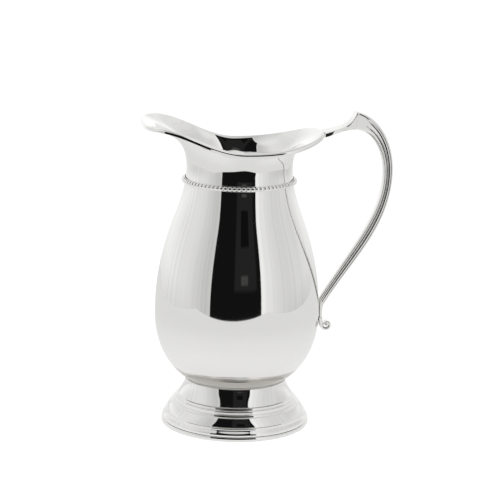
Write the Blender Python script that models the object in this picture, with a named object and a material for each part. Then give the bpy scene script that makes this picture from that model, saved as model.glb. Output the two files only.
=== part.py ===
"""Silver water pitcher: spun bowl on a stepped pedestal foot, flared collar with a
drooping rolled lip and broad spout, beaded moulding over the seam, reeded cast handle.

Metres, +Z up. The origin is the middle of the bounding box on the table. The spout
points to -X and the handle to +X. Every part is built about the turning axis of the
bowl and parented to one empty, which shifts that axis to AXIS_X.
"""

import math

import bmesh
import bpy
from mathutils import Vector

for old in list(bpy.data.objects):
    bpy.data.objects.remove(old, do_unlink=True)

MM = 0.001
GAP = 0.3 * MM            # soldered faces stand this far apart
WALL = 1.2 * MM           # spun sheet
TURNED_SEGMENTS = 56

# Overall
SPOUT_REACH = 76.0 * MM   # axis to the outer edge of the spout
HANDLE_REACH = 119.8 * MM  # axis to the back of the handle
THUMB_Z = 246.6 * MM      # top of the thumb rise

# Bowl
BELLY_R = 64.0 * MM
BELLY_Z = 88.7 * MM
JOINT_R = 39.8 * MM       # bowl meets foot
JOINT_Z = 36.9 * MM
SEAM_R = 41.8 * MM        # bowl meets collar
SEAM_Z = 193.0 * MM
BOTTOM_Z = 33.6 * MM
BOTTOM_R = 30.0 * MM

# Collar and lip
NECK_R = 40.9 * MM
NECK_Z = 202.0 * MM
SPOUT_Z = 237.8 * MM
SADDLE_Z = 219.5 * MM
LIP_BACK_Z = 231.0 * MM
LIP_BACK_REACH = 64.0 * MM
SADDLE_HALF_WIDTH = 44.4 * MM
SPOUT_HALF_WIDTH = 52.9 * MM
SPOUT_WIDENS_OVER = 90.0 * MM
LIP_SQUARENESS = 2.8
SPOUT_SQUARENESS = 4.0
LIP_ROLL_SIDE = 2.2 * MM   # radius of the rolled edge beside the saddle
LIP_ROLL_SPOUT = 1.3 * MM
LIP_ROLL_BACK = 1.5 * MM
HEM_SIDE = 2.6 * MM        # straight hem folded down below the roll
HEM_END = 0.3 * MM
HEM_BEND = 0.9 * MM        # radius of the fold

# Beaded moulding
BEADS = 78
BEAD_R = 1.6 * MM
STRAP_H = 4.2 * MM
STRAP_T = 0.35 * MM
STRAP_R = SEAM_R + 0.5 * MM  # clears the bowl where it widens below the seam

# Foot
FOOT_R = 57.9 * MM
RING_H = 3.4 * MM
RING_W = 3.3 * MM
FOOT_TOP_Z = JOINT_Z - 0.9 * MM
FOOT_LOW_Z = RING_H + GAP

# Handle
STRAP_W = 25.0 * MM
THUMB_W = 14.5 * MM
GRIP_W = 12.6 * MM
TAIL_W = 8.0 * MM
REEDS = 9
REED_DEPTH = 0.42 * MM
SIDE_UNDERCUT = 0.25      # slope of the sides of the thumb rise
SHOULDER_Z = 200.0 * MM
TAIL_LOW_Z = 83.6 * MM
SCROLL_X = 70.9 * MM
SCROLL_Z = 77.4 * MM

AXIS_X = (SPOUT_REACH - HANDLE_REACH) / 2

pitcher = bpy.data.objects.new("pitcher", None)
pitcher.location = (AXIS_X, 0.0, 0.0)
bpy.context.scene.collection.objects.link(pitcher)


def silver(name, value, roughness):
    material = bpy.data.materials.new(name)
    material.use_nodes = True
    shader = material.node_tree.nodes["Principled BSDF"]
    shader.inputs["Base Color"].default_value = (value, value * 0.99, value * 0.965, 1)
    shader.inputs["Metallic"].default_value = 1.0
    shader.inputs["Roughness"].default_value = roughness
    material.diffuse_color = (value, value * 0.99, value * 0.965, 1)
    return material


def add_object(name, bm, material):
    bmesh.ops.recalc_face_normals(bm, faces=bm.faces)
    mesh = bpy.data.meshes.new(name)
    bm.to_mesh(mesh)
    bm.free()
    mesh.materials.append(material)
    made = bpy.data.objects.new(name, mesh)
    made.parent = pitcher
    bpy.context.scene.collection.objects.link(made)
    return made


def skin(name, rings, material, closed_loop, smooth=True):
    """Joins rings of equally many points; closed_loop joins the last ring to the first."""
    bm = bmesh.new()
    made = [[bm.verts.new(point) for point in ring] for ring in rings]
    pairs = list(zip(made, made[1:]))
    if closed_loop:
        pairs.append((made[-1], made[0]))
    for low, high in pairs:
        for i in range(len(low)):
            j = (i + 1) % len(low)
            bm.faces.new((low[i], low[j], high[j], high[i])).smooth = smooth
    if not closed_loop:
        bm.faces.new(made[0])
        bm.faces.new(made[-1])
    return add_object(name, bm, material)


def turned(name, profile, material, segments=TURNED_SEGMENTS):
    """Spins a profile of (radius, height) about the axis. One that starts and ends on the
    axis is a solid of revolution; any other is closed on itself and makes a ring."""
    bm = bmesh.new()
    verts = [bm.verts.new((radius, 0.0, z)) for radius, z in profile]
    edges = [bm.edges.new(pair) for pair in zip(verts, verts[1:])]
    if profile[0][0] > 0:
        edges.append(bm.edges.new((verts[-1], verts[0])))
    bmesh.ops.spin(
        bm,
        geom=verts + edges,
        cent=(0.0, 0.0, 0.0),
        axis=(0.0, 0.0, 1.0),
        angle=2 * math.pi,
        steps=segments,
        use_merge=True,
    )
    bmesh.ops.remove_doubles(bm, verts=bm.verts, dist=1e-7)
    for face in bm.faces:
        face.smooth = True
    return add_object(name, bm, material)


def bezier(a, b, c, d, count):
    """Points along a cubic curve, both ends included."""
    points = []
    for i in range(count):
        t = i / (count - 1)
        s = 1 - t
        weights = (s * s * s, 3 * t * s * s, 3 * t * t * s, t * t * t)
        points.append(
            tuple(
                sum(w * p[k] for w, p in zip(weights, (a, b, c, d)))
                for k in range(len(a))
            )
        )
    return points


def inset(profile, distance):
    """A profile moved sideways to its left."""
    moved = []
    for i, (r, z) in enumerate(profile):
        before = profile[max(i - 1, 0)]
        after = profile[min(i + 1, len(profile) - 1)]
        dr, dz = after[0] - before[0], after[1] - before[1]
        length = math.hypot(dr, dz)
        moved.append((r - dz / length * distance, z + dr / length * distance))
    return moved


def smoothstep(x):
    x = min(max(x, 0.0), 1.0)
    return x * x * (3 - 2 * x)


def mix(a, b, t):
    return a + (b - a) * t


# ---------------------------------------------------------------- bowl
def bowl_side(lower_count, upper_count):
    """Outer side of the bowl from the foot joint up to the seam."""
    lower = bezier(
        (JOINT_R, JOINT_Z),
        (JOINT_R + 4.7 * MM, JOINT_Z + 3.0 * MM),
        (BELLY_R, BELLY_Z - 34.9 * MM),
        (BELLY_R, BELLY_Z),
        lower_count,
    )
    upper = bezier(
        (BELLY_R, BELLY_Z),
        (BELLY_R, BELLY_Z + 55.5 * MM),
        (SEAM_R + 1.85 * MM, SEAM_Z - 23.7 * MM),
        (SEAM_R, SEAM_Z - GAP / 2),
        upper_count,
    )
    return lower + upper[1:]


def build_bowl(material):
    side = bowl_side(8, 10)
    inner = inset(bowl_side(6, 8), WALL)
    inner[-1] = (SEAM_R - WALL, SEAM_Z - GAP / 2)
    edge = (JOINT_R - 3.2 * MM, BOTTOM_Z + 0.8 * MM)
    bottom = [(0.0, BOTTOM_Z), (BOTTOM_R, BOTTOM_Z), edge]
    floor = [(BOTTOM_R + 2 * MM, BOTTOM_Z + WALL + 0.5 * MM), (0.0, BOTTOM_Z + WALL)]
    profile = bottom + side + inner[::-1] + floor
    turned("bowl", profile, material)


# ---------------------------------------------------------------- collar and lip
def rim_at(angle):
    """Crest of the lip in polar form about the axis: (distance, height)."""
    half = abs(math.remainder(angle, 2 * math.pi))
    c, s = abs(math.cos(half)), math.sin(half)
    if half < math.pi / 2:
        reach = LIP_BACK_REACH - LIP_ROLL_BACK - WALL / 2
        widest, power = SADDLE_HALF_WIDTH, LIP_SQUARENESS
    else:
        reach = SPOUT_REACH - LIP_ROLL_SPOUT - WALL / 2
        widest, power = SPOUT_HALF_WIDTH, SPOUT_SQUARENESS
    distance = reach
    for _ in range(24):
        side = mix(SADDLE_HALF_WIDTH, widest, smoothstep(c * distance / SPOUT_WIDENS_OVER))
        distance = ((c / reach) ** power + (s / side) ** power) ** (-1 / power)
    along = c * distance / reach
    if half < math.pi / 2:
        height = mix(SADDLE_Z, LIP_BACK_Z, along ** 2.3)
    else:
        height = mix(SADDLE_Z, SPOUT_Z, smoothstep(along / 0.9))
    return distance, height


def arc(start, lean, end_lean, radius, count):
    """Points after start on an arc that turns down from one lean to another."""
    cr, cz = start[0] + radius * math.sin(lean), start[1] - radius * math.cos(lean)
    points = []
    for i in range(1, count + 1):
        now = mix(lean, end_lean, i / count)
        points.append((cr - radius * math.sin(now), cz + radius * math.cos(now)))
    return points


def collar_section(angle, wall_count, roll_count, bend_count):
    """Mid-line of the sheet in one radial plane: up from the seam, over the roll, down
    the folded hem."""
    distance, height = rim_at(angle)
    half = abs(math.remainder(angle, 2 * math.pi))
    side = math.sin(half) ** 2
    roll = mix(LIP_ROLL_BACK if half < math.pi / 2 else LIP_ROLL_SPOUT, LIP_ROLL_SIDE, side)
    hem = mix(HEM_END, HEM_SIDE, side * side)
    fold = math.radians(mix(-72, -30, side * side))
    hang = math.radians(mix(-88, -104, side * side))
    neck = NECK_R - WALL / 2
    rise = height - NECK_Z
    spread = mix(3.0, 1.3, side ** 3) * max(distance - neck, 0.1 * MM)
    lean = min(math.atan2(rise, spread), math.radians(82))
    start = (
        distance - roll * math.sin(lean),
        height - roll + roll * math.cos(lean),
    )
    reach = max(start[0] - neck, 0.0)
    foot = (SEAM_R - WALL / 2, SEAM_Z + GAP / 2)
    low = bezier(
        foot,
        (foot[0] - 0.3 * MM, foot[1] + 3 * MM),
        (neck, NECK_Z - 4 * MM),
        (neck, NECK_Z),
        3,
    )
    handle = 0.25 * rise + 0.5 * reach
    flare = bezier(
        (neck, NECK_Z),
        (neck, NECK_Z + mix(0.55, 0.27, side ** 3) * rise),
        (start[0] - handle * math.cos(lean), start[1] - handle * math.sin(lean)),
        start,
        wall_count,
    )
    curl = arc(start, lean, fold, roll, roll_count)
    curl += arc(curl[-1], fold, hang, HEM_BEND, bend_count)
    last = curl[-1]
    curl.append((last[0] + hem * math.cos(hang), last[1] + hem * math.sin(hang)))
    return low + flare[1:] + curl


def sheet_around(section, thickness):
    """Closed outline of a sheet of this thickness about a mid-line."""
    left = inset(section, thickness / 2)
    right = inset(section, -thickness / 2)
    left[0] = (left[0][0], section[0][1])
    right[0] = (right[0][0], section[0][1])
    return right + left[::-1]


def build_collar(material, stations=TURNED_SEGMENTS + 8):
    columns = []
    for i in range(stations):
        angle = 2 * math.pi * i / stations
        outline = sheet_around(collar_section(angle, 8, 4, 3), WALL)
        c, s = math.cos(angle), math.sin(angle)
        columns.append([Vector((r * c, r * s, z)) for r, z in outline])
    rings = [[column[k] for column in columns] for k in range(len(columns[0]))]
    skin("neck_lip", rings, material, closed_loop=True)


# ---------------------------------------------------------------- moulding over the seam
def build_seam_strap(material):
    inner = STRAP_R
    outer = inner + STRAP_T
    half = STRAP_H / 2
    profile = [
        (outer, SEAM_Z - half),
        (outer, SEAM_Z + half),
        (inner, SEAM_Z + half),
        (inner, SEAM_Z - half),
    ]
    turned("seam_strap", profile, material)


def build_beads(material):
    """One strip of half-round beads, three stations to a bead, closed into a ring."""
    back = STRAP_R + STRAP_T + GAP
    stations = []
    for i in range(BEADS * 3):
        swell = 0.5 if i % 3 == 0 else 1.0
        shift = (0.0, 0.25, -0.25)[i % 3]
        angle = 2 * math.pi * (i + shift) / (BEADS * 3)
        c, s = math.cos(angle), math.sin(angle)
        tall = BEAD_R * mix(0.72, 1.0, (swell - 0.5) * 2)
        deep = BEAD_R * swell
        outline = [
            (back, -tall),
            (back + deep * 0.72, -tall * 0.68),
            (back + deep, 0.0),
            (back + deep * 0.72, tall * 0.68),
            (back, tall),
        ]
        stations.append([Vector((r * c, r * s, SEAM_Z + z)) for r, z in outline])
    skin("bead_moulding", stations, material, closed_loop=True)


# ---------------------------------------------------------------- foot
def foot_outer():
    """Mouldings of the pedestal from the top down, as (radius, height)."""
    def at(radius, down):
        return radius * MM, FOOT_TOP_Z - down * MM

    hollow = bezier(at(39.0, 0.0), at(38.6, 4.0), at(41.4, 8.8), at(44.4, 12.6), 7)
    step = [at(45.9, 13.5), at(46.1, 14.5), at(47.2, 15.1)]
    bead = [at(47.7, 15.9), at(47.6, 16.9)]
    ledge = [at(49.2, 18.1), at(49.4, 19.1)]
    ovolo = bezier(at(50.2, 19.6), at(51.6, 21.1), at(53.7, 22.9), at(54.0, 25.5), 5)
    steps = [at(55.2, 26.6), at(55.5, 28.0), at(57.1, 30.5), (57.3 * MM, FOOT_LOW_Z)]
    return hollow + step + bead + ledge + ovolo + steps


def foot_inner():
    """Plain hollow underside from the bottom up."""
    return [
        (55.4 * MM, FOOT_LOW_Z),
        (52.6 * MM, 9.0 * MM),
        (47.4 * MM, 15.6 * MM),
        (42.6 * MM, 20.6 * MM),
        (38.4 * MM, 26.2 * MM),
        (36.9 * MM, 30.5 * MM),
        (37.2 * MM, FOOT_TOP_Z - 1.4 * MM),
    ]


def build_foot(material):
    turned("foot_shell", foot_outer() + foot_inner(), material)
    bevel = 0.5 * MM
    inner = FOOT_R - RING_W
    profile = [
        (FOOT_R - bevel, 0.0),
        (FOOT_R, bevel),
        (FOOT_R, RING_H - 0.9 * MM),
        (FOOT_R - 0.9 * MM, RING_H),
        (inner, RING_H),
        (inner, 0.0),
    ]
    turned("foot_ring", profile, material)


def build_foot_solder(material):
    """Thin bead of solder in the corner between the bowl and the foot."""
    r = JOINT_R + 0.1 * MM
    z = JOINT_Z - 0.65 * MM
    profile = [
        (r + 0.1 * MM, z - 0.35 * MM),
        (r + 0.35 * MM, z + 0.2 * MM),
        (r - 0.1 * MM, z + 0.2 * MM),
    ]
    turned("foot_solder", profile, material)


# ---------------------------------------------------------------- handle
def handle_rails():
    """Back and front of the handle in its own plane, matched point for point, from the
    lip over the thumb rise and down to the tail: (back, front, progress)."""
    tip = (89.3 * MM, THUMB_Z)
    under_tip = (87.6 * MM, 232.4 * MM)
    end = LIP_BACK_REACH + GAP
    strap_top = bezier((end, 230.7 * MM), (78 * MM, 235.0 * MM), (84.3 * MM, 233.4 * MM), tip, 9)
    strap_low = bezier((end, 227.2 * MM), (72 * MM, 229.6 * MM), (80 * MM, 232.2 * MM), under_tip, 9)
    back = bezier(
        tip,
        (107.5 * MM, 242.6 * MM),
        (HANDLE_REACH, SHOULDER_Z + 24 * MM),
        (HANDLE_REACH, SHOULDER_Z),
        11,
    )
    front = bezier(
        under_tip,
        (101.5 * MM, 233.4 * MM),
        (112.3 * MM, SHOULDER_Z + 16 * MM),
        (112.3 * MM, SHOULDER_Z - 2 * MM),
        11,
    )
    back_low = bezier(
        (HANDLE_REACH, SHOULDER_Z),
        (HANDLE_REACH, SHOULDER_Z - 45 * MM),
        (90.2 * MM, 130 * MM),
        (67.9 * MM, 92.6 * MM),
        15,
    )
    front_low = bezier(
        (112.3 * MM, SHOULDER_Z - 2 * MM),
        (112.3 * MM, SHOULDER_Z - 35 * MM),
        (87.2 * MM, 136.5 * MM),
        (64.8 * MM, 99.0 * MM),
        15,
    )
    tail_back = [(67.3 * MM, 89.0 * MM), (67.4 * MM, TAIL_LOW_Z)]
    tail_front = [(64.6 * MM, 92.0 * MM), (64.9 * MM, TAIL_LOW_Z)]
    backs = strap_top + back[1:] + back_low[1:] + tail_back
    fronts = strap_low + front[1:] + front_low[1:] + tail_front
    return backs, fronts


def handle_width(i, total):
    """Width across the handle at one station."""
    strap_end, grip_start = 8, 18
    if i <= strap_end:
        return mix(STRAP_W, THUMB_W, smoothstep(i / 6))
    if i <= grip_start:
        return mix(THUMB_W, GRIP_W, (i - strap_end) / (grip_start - strap_end))
    return mix(GRIP_W, TAIL_W, smoothstep((i - grip_start) / (total - 1 - grip_start)))


def handle_section(back, front, width, reeding, squareness, undercut, count):
    """One ring of points: a rounded slab with reeds on its back and sides. Its sides draw
    in towards the front by the undercut."""
    mid = ((back[0] + front[0]) / 2, (back[1] + front[1]) / 2)
    half_deep = math.dist(back, front) / 2
    axis = ((back[0] - front[0]) / (2 * half_deep), (back[1] - front[1]) / (2 * half_deep))
    ring = []
    for k in range(count):
        angle = 2 * math.pi * (k + 0.5) / count
        c, s = math.cos(angle), math.sin(angle)
        shape = (abs(c) ** squareness + abs(s) ** squareness) ** (-1 / squareness)
        deep = c * shape * half_deep
        across = s * shape * (width / 2 - (half_deep - deep) * undercut)
        if reeding > 0:
            spread = min(abs(math.remainder(angle, 2 * math.pi)) / math.radians(142), 1.0)
            wave = 0.5 - 0.5 * math.cos(spread * math.pi * REEDS) if spread < 1 else 0.0
            cut = REED_DEPTH * reeding * wave
            across -= cut * s
            deep -= cut * c
        ring.append(Vector((mid[0] + axis[0] * deep, across, mid[1] + axis[1] * deep)))
    return ring


def build_handle(material):
    backs, fronts = handle_rails()
    total = len(backs)
    rings = []
    for i, (back, front) in enumerate(zip(backs, fronts)):
        reeding = smoothstep((i - 10) / 4) * smoothstep((total - i) / 5)
        squareness = mix(6.0, 2.6, smoothstep((i - 5) / 7))
        undercut = SIDE_UNDERCUT * smoothstep((17 - i) / 6)
        width = handle_width(i, total)
        rings.append(handle_section(back, front, width, reeding, squareness, undercut, 28))
    skin("handle", rings, material, closed_loop=False)


def strip(name, middle, thick, width, material):
    """A flat strip bent along a line in the plane of the handle."""
    rings = []
    for i, (x, z) in enumerate(middle):
        before = middle[max(i - 1, 0)]
        after = middle[min(i + 1, len(middle) - 1)]
        dx, dz = after[0] - before[0], after[1] - before[1]
        length = math.hypot(dx, dz)
        nx, nz = -dz / length, dx / length
        share = i / (len(middle) - 1)
        half_t = mix(thick[0], thick[1], share) / 2
        half_w = mix(width[0], width[1], share) / 2
        bevel = half_w - 0.6 * MM
        corners = (
            (1, bevel), (0.45, half_w), (-0.45, half_w), (-1, bevel),
            (-1, -bevel), (-0.45, -half_w), (0.45, -half_w), (1, -bevel),
        )
        rings.append(
            [Vector((x + nx * half_t * a, y, z + nz * half_t * a)) for a, y in corners]
        )
    skin(name, rings, material, closed_loop=False)


def build_scroll(material):
    """Curl at the foot of the handle: runs down from the tail, then out, up and in."""
    line = [
        (66.15 * MM, TAIL_LOW_Z - GAP),
        (66.35 * MM, TAIL_LOW_Z - 2.2 * MM),
    ]
    turns = 15
    for i in range(turns + 1):
        share = i / turns
        angle = math.radians(170 + 350 * share)
        radius = mix(4.15 * MM, 1.55 * MM, share ** 0.9)
        line.append((SCROLL_X + radius * math.cos(angle), SCROLL_Z + radius * math.sin(angle)))
    strip("handle_scroll", line, (2.2 * MM, 1.2 * MM), (TAIL_W, TAIL_W - 0.6 * MM), material)


def build_pad(material):
    """Pad of solder between the bowl and the scroll."""
    top, low = 82.5 * MM, 74.6 * MM
    half = 3.2 * MM
    rings = []
    for z, outer in ((low, 63.4 * MM), (76.5 * MM, 65.1 * MM), (top, 64.75 * MM)):
        inner = mix(62.95, 64.2, (z - low) / (top - low)) * MM
        corners = ((inner, -half), (outer, -half), (outer, half), (inner, half))
        rings.append([Vector((x, y, z)) for x, y in corners])
    skin("handle_pad", rings, material, closed_loop=False, smooth=False)


bright = silver("polished_silver", 0.92, 0.06)
soft = silver("worn_silver", 0.86, 0.16)
joint = silver("solder", 0.70, 0.32)

build_bowl(bright)
build_collar(bright)
build_seam_strap(soft)
build_beads(bright)
build_foot(bright)
build_foot_solder(joint)
build_handle(soft)
build_scroll(soft)
build_pad(joint)
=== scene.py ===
"""Looks of the silver water pitcher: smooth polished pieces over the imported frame,
procedural silver, and a white studio with a dark opening behind the camera.

The pitcher is turned about the vertical line through AXIS, its spout points to -X and its
handle to +X. A profile is a list of (distance from that line, height)."""

import math

import bmesh
import bpy
from mathutils import Matrix, Vector


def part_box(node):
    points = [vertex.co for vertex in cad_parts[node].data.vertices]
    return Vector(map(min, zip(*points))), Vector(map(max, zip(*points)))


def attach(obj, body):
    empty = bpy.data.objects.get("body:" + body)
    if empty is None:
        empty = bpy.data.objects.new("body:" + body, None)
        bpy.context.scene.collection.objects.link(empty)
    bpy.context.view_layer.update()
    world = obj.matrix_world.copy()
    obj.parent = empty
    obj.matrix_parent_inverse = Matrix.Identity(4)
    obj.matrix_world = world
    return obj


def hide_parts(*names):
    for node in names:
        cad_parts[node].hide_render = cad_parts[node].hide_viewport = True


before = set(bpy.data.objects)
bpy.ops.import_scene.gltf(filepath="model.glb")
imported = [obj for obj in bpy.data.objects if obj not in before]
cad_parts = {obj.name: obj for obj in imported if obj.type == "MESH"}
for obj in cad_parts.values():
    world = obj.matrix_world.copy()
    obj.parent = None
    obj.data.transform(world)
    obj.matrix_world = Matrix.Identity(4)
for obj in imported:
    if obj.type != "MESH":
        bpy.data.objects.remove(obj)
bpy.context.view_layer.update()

MM = 0.001


def spans(node):
    """(centre, size) of a CAD node."""
    low, high = (Vector(corner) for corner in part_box(node))
    return (low + high) / 2, high - low


BOWL_MID, BOWL_SIZE = spans("bowl")
COLLAR_LOW, COLLAR_HIGH = (Vector(c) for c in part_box("neck_lip"))
HANDLE_LOW, HANDLE_HIGH = (Vector(c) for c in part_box("handle"))
RING_SIZE = spans("foot_ring")[1]
SHELL_LOW, SHELL_HIGH = (Vector(c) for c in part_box("foot_shell"))
BEADS_MID, BEADS_SIZE = spans("bead_moulding")
STRAP_SIZE = spans("seam_strap")[1]
SCROLL_LOW, SCROLL_HIGH = (Vector(c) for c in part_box("handle_scroll"))

AXIS = Vector((BOWL_MID.x, 0.0, 0.0))
GAP = 0.3 * MM  # between soldered pieces
WALL = 1.2 * MM  # thickness of the silver sheet
BOTTOM_Z = BOWL_MID.z - BOWL_SIZE.z / 2
JOINT_Z = BOTTOM_Z + 3.3 * MM  # the edge where the bowl sits on its foot
JOINT_R = 39.8 * MM
BELLY_Z = BOTTOM_Z + 55.1 * MM  # the bowl's widest height
BELLY_R = BOWL_SIZE.x / 2
SEAM_Z = BEADS_MID.z  # where bowl and collar meet, behind the beads
SEAM_R = 41.8 * MM
NECK_Z = SEAM_Z + 9.0 * MM  # the narrowest ring of the collar
NECK_R = 40.9 * MM
SPOUT_REACH = AXIS.x - COLLAR_LOW.x
LIP_BACK_REACH = COLLAR_HIGH.x - AXIS.x
HANDLE_REACH = HANDLE_HIGH.x - AXIS.x
THUMB_Z = HANDLE_HIGH.z
TAIL_LOW_Z = HANDLE_LOW.z


# ------------------------------------------------------------------ curves
def mix(a, b, t):
    return a + (b - a) * t


def smoothstep(x):
    x = min(max(x, 0.0), 1.0)
    return x * x * (3 - 2 * x)


def on_bezier(points, t):
    """The point at share t of the cubic curve with these four points."""
    s = 1 - t
    weights = (s * s * s, 3 * t * s * s, 3 * t * t * s, t * t * t)
    return tuple(
        sum(w * p[k] for w, p in zip(weights, points)) for k in range(len(points[0]))
    )


def bezier(a, b, c, d, count):
    return [on_bezier((a, b, c, d), i / (count - 1)) for i in range(count)]


def inset(profile, distance):
    """The profile moved sideways, to the left of the way it runs."""
    moved = []
    for i, (r, z) in enumerate(profile):
        before = profile[max(i - 1, 0)]
        after = profile[min(i + 1, len(profile) - 1)]
        dr, dz = after[0] - before[0], after[1] - before[1]
        length = math.hypot(dr, dz)
        moved.append((r - dz / length * distance, z + dr / length * distance))
    return moved


def softened(corners, steps=5):
    """A line through (r, z, radius) corners, each rounded to its radius; radius 0 stays."""
    line = []
    for i, (r, z, radius) in enumerate(corners):
        here = Vector((r, z))
        if radius <= 0 or i in (0, len(corners) - 1):
            line.append((r, z))
            continue
        before = Vector(corners[i - 1][:2]) - here
        after = Vector(corners[i + 1][:2]) - here
        reach = min(radius, before.length * 0.48, after.length * 0.48)
        start = here + before.normalized() * reach
        end = here + after.normalized() * reach
        for k in range(steps + 1):
            t = k / steps
            point = start * (1 - t) ** 2 + here * 2 * t * (1 - t) + end * t * t
            line.append((point.x, point.y))
    return line


def dense(profile, step):
    """The same line with points no further apart than step."""
    line = [profile[0]]
    for a, b in zip(profile, profile[1:]):
        count = max(1, math.ceil(math.dist(a, b) / step))
        for k in range(1, count + 1):
            line.append((mix(a[0], b[0], k / count), mix(a[1], b[1], k / count)))
    return line


def squareish(c, s, power):
    """Radius of a rounded square, 1 at the middle of its sides, in the direction (c, s)."""
    return (abs(c) ** power + abs(s) ** power) ** (-1 / power)


# ------------------------------------------------------------------ meshes
def new_piece(name, bm, material, node, sharp_deg):
    """Makes the mesh a smooth piece of the rigid body, with edges over sharp_deg left sharp."""
    bmesh.ops.recalc_face_normals(bm, faces=bm.faces)
    for face in bm.faces:
        face.smooth = True
    mesh = bpy.data.meshes.new(name)
    bm.to_mesh(mesh)
    bm.free()
    mesh.set_sharp_from_angle(angle=math.radians(sharp_deg))
    mesh.materials.append(material)
    piece = bpy.data.objects.new(name, mesh)
    bpy.context.scene.collection.objects.link(piece)
    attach(piece, "root")
    if node:
        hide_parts(node)
    return piece


def turned_mesh(profile, segments):
    """Spins a profile about the pitcher's axis, its ends joined unless they lie on the axis."""
    bm = bmesh.new()
    verts = [bm.verts.new((AXIS.x + r, 0.0, z)) for r, z in profile]
    edges = [bm.edges.new(pair) for pair in zip(verts, verts[1:])]
    if profile[0][0] > 0:
        edges.append(bm.edges.new((verts[-1], verts[0])))
    bmesh.ops.spin(
        bm,
        geom=verts + edges,
        cent=AXIS,
        axis=(0.0, 0.0, 1.0),
        angle=2 * math.pi,
        steps=segments,
        use_merge=True,
    )
    bmesh.ops.remove_doubles(bm, verts=bm.verts, dist=1e-7)
    return bm


def skin_mesh(rings, closed_loop):
    """Joins rings of points to one skin, into a loop or with a cap on both ends."""
    bm = bmesh.new()
    made = [[bm.verts.new(point) for point in ring] for ring in rings]
    pairs = list(zip(made, made[1:]))
    if closed_loop:
        pairs.append((made[-1], made[0]))
    for low, high in pairs:
        for i in range(len(low)):
            j = (i + 1) % len(low)
            bm.faces.new((low[i], low[j], high[j], high[i]))
    if not closed_loop:
        bm.faces.new(made[0])
        bm.faces.new(made[-1])
    return bm


# ------------------------------------------------------------------ bowl
def bowl_side(lower_count, upper_count):
    """Outside of the bowl: one curve from the foot to the belly, one from there to the seam."""
    lower = bezier(
        (JOINT_R, JOINT_Z),
        (JOINT_R + 4.7 * MM, JOINT_Z + 3.0 * MM),
        (BELLY_R, BELLY_Z - 34.9 * MM),
        (BELLY_R, BELLY_Z),
        lower_count,
    )
    upper = bezier(
        (BELLY_R, BELLY_Z),
        (BELLY_R, BELLY_Z + 55.5 * MM),
        (SEAM_R + 1.85 * MM, SEAM_Z - 23.7 * MM),
        (SEAM_R, SEAM_Z - GAP / 2),
        upper_count,
    )
    return lower + upper[1:]


def build_bowl(material):
    side = bowl_side(lower_count=60, upper_count=90)
    inner = inset(side, WALL)
    inner[-1] = (SEAM_R - WALL, SEAM_Z - GAP / 2)
    bottom_r = 30.0 * MM
    under = softened(
        [
            (0.0, BOTTOM_Z, 0),
            (bottom_r, BOTTOM_Z, 3 * MM),
            (JOINT_R - 3.2 * MM, BOTTOM_Z + 0.8 * MM, 2 * MM),
            (JOINT_R, JOINT_Z, 0),
        ],
        6,
    )
    last = inner[0]
    floor = softened(
        [
            (last[0], last[1], 0),
            (bottom_r + 2 * MM, BOTTOM_Z + WALL + 0.6 * MM, 5 * MM),
            (0.0, BOTTOM_Z + WALL, 0),
        ],
        8,
    )
    profile = under[:-1] + side + inner[:0:-1] + floor
    bm = turned_mesh(profile, 256)
    return new_piece("bowl_polished", bm, material, "bowl", 50)


# ------------------------------------------------------------------ collar and lip
# In the tables below "side" is the low saddle on both sides of the rim, and "end" is the tip of
# the spout and the back of the lip. Angles are slopes of the sheet in degrees, positive on the
# way up to the crest and negative past it.
SADDLE_Z = SEAM_Z + 26.5 * MM
SPOUT_Z = SEAM_Z + 44.8 * MM
LIP_BACK_Z = SEAM_Z + 38.0 * MM
SADDLE_HALF_WIDTH = 44.4 * MM
SPOUT_HALF_WIDTH = 52.9 * MM
SPOUT_WIDENS_OVER = 90.0 * MM
LIP_SQUARENESS = 2.8
SPOUT_SQUARENESS = 4.0
BACK_RISE_POWER = 2.3
SPOUT_RISE_SHARE = 0.9  # of the way to the tip, where the spout is at its full height
LIP_ROLL = {"side": 2.2 * MM, "spout": 1.3 * MM, "back": 1.5 * MM}
CREST_ROLL = 1.5 * MM  # the side's own, tighter roll
LIP_EASE = {"side": 4.6 * MM, "end": 1.0 * MM}  # radius of the gentle bend below the roll
EASE_ENDS_AT = 46
STEEPEST_WALL = 82
FOLD = {"side": -30, "end": -72}  # where the roll ends and the hem's bend starts
HANG = {"side": -104, "end": -88}  # slope of the hem
HEM = {"side": 2.6 * MM, "end": 0.3 * MM}  # length of the hem
HEM_BEND = 0.9 * MM


def rim_at(angle):
    """(distance from the axis, height) of the crest of the rim; angle 0 is the handle's side."""
    half = abs(math.remainder(angle, 2 * math.pi))
    c, s = abs(math.cos(half)), math.sin(half)
    back = half < math.pi / 2
    if back:
        reach = LIP_BACK_REACH - LIP_ROLL["back"] - WALL / 2
        widest, power = SADDLE_HALF_WIDTH, LIP_SQUARENESS
    else:
        reach = SPOUT_REACH - LIP_ROLL["spout"] - WALL / 2
        widest, power = SPOUT_HALF_WIDTH, SPOUT_SQUARENESS
    distance = reach
    for _ in range(24):  # the width depends on the distance, so both are found by repeating
        side = mix(SADDLE_HALF_WIDTH, widest, smoothstep(c * distance / SPOUT_WIDENS_OVER))
        distance = ((c / reach) ** power + (s / side) ** power) ** (-1 / power)
    along = c * distance / reach
    rise = along ** BACK_RISE_POWER if back else smoothstep(along / SPOUT_RISE_SHARE)
    return distance, mix(SADDLE_Z, LIP_BACK_Z if back else SPOUT_Z, rise)


def arc(start, lean, end_lean, radius, count):
    """Points after start on an arc that turns down from one lean to another."""
    cr, cz = start[0] + radius * math.sin(lean), start[1] - radius * math.cos(lean)
    points = []
    for i in range(1, count + 1):
        now = mix(lean, end_lean, i / count)
        points.append((cr - radius * math.sin(now), cz + radius * math.cos(now)))
    return points


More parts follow.
